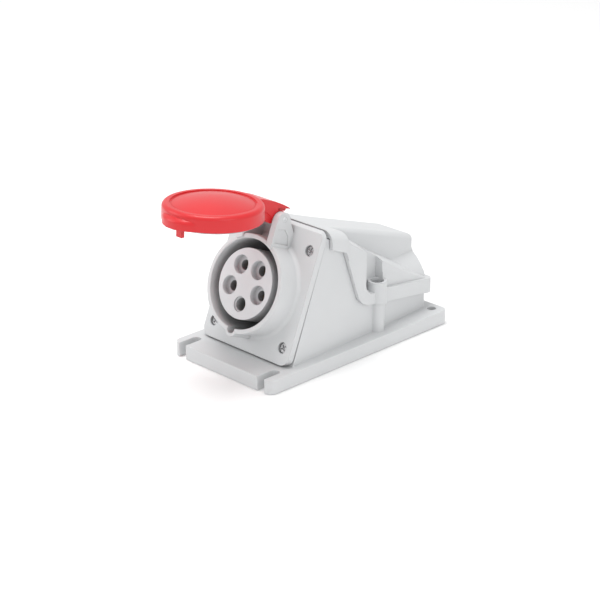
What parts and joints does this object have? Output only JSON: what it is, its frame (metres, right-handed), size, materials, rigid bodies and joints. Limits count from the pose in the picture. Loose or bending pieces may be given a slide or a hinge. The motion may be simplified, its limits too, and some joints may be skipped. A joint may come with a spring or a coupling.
{
  "type": "angled surface mount socket",
  "caption": "Angled surface-mounting power socket: box on a slotted plate, screwed rear cover, tilted flange with round pin-and-sleeve socket and sprung hinged lid.",
  "frame": {"origin": "middle of the plate on its wall side", "axes": "+Z away from the wall, +Y towards the cable end, +X to the right seen from the socket end"},
  "size_m": [0.101, 0.2277, 0.1322],
  "materials": {
    "housing": "fine satin moulding",
    "carrier": "satin",
    "holder": "satin",
    "lid": "semi-gloss",
    "seal": "matte",
    "lid_ring": "matte",
    "grommet": "matte",
    "steel": "zinc plated",
    "brass": "bright"
  },
  "bodies": {
    "housing": {"base_box": "housing", "rear_cover": "housing", "cover_seal": "seal", "cover_screws": "steel", "cable_grommet": "grommet", "socket_flange": "housing", "flange_seal": "seal", "flange_screws": "steel", "contact_carrier": "carrier", "terminal_holder": "holder", "holder_screws": "steel", "sleeve_l1": "brass", "sleeve_l2": "brass", "sleeve_l3": "brass", "sleeve_neutral": "brass", "sleeve_earth": "brass", "sleeve_rings": "steel", "terminal_screws": "steel", "hinge_pin": "steel", "lid_spring": "steel"},
    "lid": {"lid": "lid", "lid_seal": "lid_ring"}
  },
  "joints": [
    {"name": "lid_hinge", "type": "hinge", "parent": "housing", "child": "lid", "pos_m": [0, -0.04563, 0.10778], "axis": [-1, 0, 0], "range_deg": [-71, 45], "deforming": ["lid_spring"]}
  ]
}
